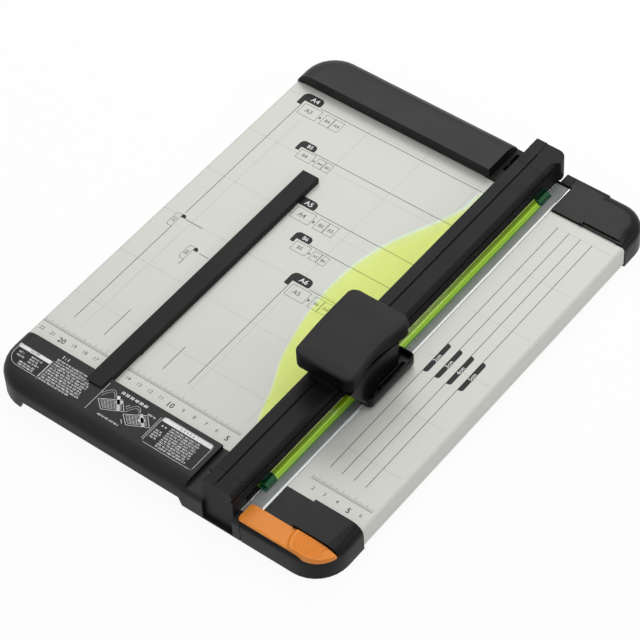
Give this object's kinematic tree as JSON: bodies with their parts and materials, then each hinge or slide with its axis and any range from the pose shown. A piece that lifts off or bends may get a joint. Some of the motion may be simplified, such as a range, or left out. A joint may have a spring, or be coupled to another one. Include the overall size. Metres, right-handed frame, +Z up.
{
  "type": "paper cutter",
  "caption": "Flat desk paper cutter with a hinged rail, a sliding sprung handle over a disc blade, a clear clamp sheet, a guide bar and a sliding mat lock.",
  "frame": {"origin": "centre of the footprint, on the table under the feet", "axes": "+X right across the cut, +Y back along the rail towards the hinge, +Z up"},
  "size_m": [0.3, 0.393, 0.07],
  "materials": {
    "deck_paint": "satin warm grey",
    "bare_aluminium": "satin",
    "grey_mat": "matt",
    "black_plastic": "fine grained, matt",
    "black_rail": "matt black",
    "clear_green": "clear, yellow green",
    "dark_green": "glossy",
    "orange_plastic": "satin",
    "steel": "bright",
    "rubber": "matt"
  },
  "bodies": {
    "base": {"deck_left": "deck_paint", "deck_right": "deck_paint", "mat_channel": "bare_aluminium", "cutting_mat": "grey_mat", "front_left_base": "black_plastic", "front_right_cap": "black_plastic", "rear_left_cap": "black_plastic", "rear_right_cap": "black_plastic", "rear_hinge_block": "black_plastic", "hinge_pin": "steel", "lift_spring": "steel", "foot_front_left": "rubber", "foot_front_middle": "rubber", "foot_front_right": "rubber", "foot_rear_left": "rubber", "foot_rear_middle": "rubber", "foot_rear_right": "rubber", "screw_front_left_1": "steel", "screw_front_left_2": "steel", "screw_front_left_3": "steel", "screw_rear_left_1": "steel", "screw_rear_left_2": "steel", "screw_rear_left_3": "steel", "screw_front_right_1": "steel", "screw_front_right_2": "steel", "screw_rear_right_1": "steel", "screw_rear_right_2": "steel"},
    "rail": {"rail_extrusion": "black_rail", "rail_front_cap": "black_plastic", "rail_rear_block": "black_plastic", "clamp_plate": "clear_green", "clamp_stop_front": "dark_green", "clamp_stop_rear": "dark_green"},
    "carriage": {"carriage_shoe": "black_plastic", "blade_cover": "black_plastic", "press_spring": "steel"},
    "head": {"knob": "black_plastic", "blade_holder": "black_plastic", "blade_axle": "steel"},
    "blade": {"blade_disc": "steel", "blade_hub": "dark_green"},
    "lock": {"mat_lock": "orange_plastic"},
    "guide": {"guide_bar": "black_plastic", "guide_magnet_1": "steel", "guide_magnet_2": "steel"}
  },
  "joints": [
    {"name": "rail_hinge", "type": "hinge", "parent": "base", "child": "rail", "pos_m": [0.059, 0.1835, 0.012], "axis": [-1, 0, 0], "range_deg": [0, 45]},
    {"name": "carriage_slide", "type": "slide", "parent": "rail", "child": "carriage", "axis": [0, 1, 0], "range_m": [-0.105, 0.195]},
    {"name": "handle_press", "type": "slide", "parent": "carriage", "child": "head", "axis": [0, 0, -1], "range_m": [0, 0.0035], "stiffness_N_per_m": 800, "springref_m": -0.004, "deforming": ["press_spring"]},
    {"name": "blade_spin", "type": "hinge", "parent": "head", "child": "blade", "pos_m": [0.079, -0.0525, 0.0378], "axis": [1, 0, 0], "continuous": true},
    {"name": "mat_lock_slide", "type": "slide", "parent": "base", "child": "lock", "axis": [1, 0, 0], "range_m": [0, 0.012]},
    {"name": "guide_slide", "type": "slide", "parent": "base", "child": "guide", "axis": [1, 0, 0], "range_m": [-0.06, 0.06]}
  ]
}
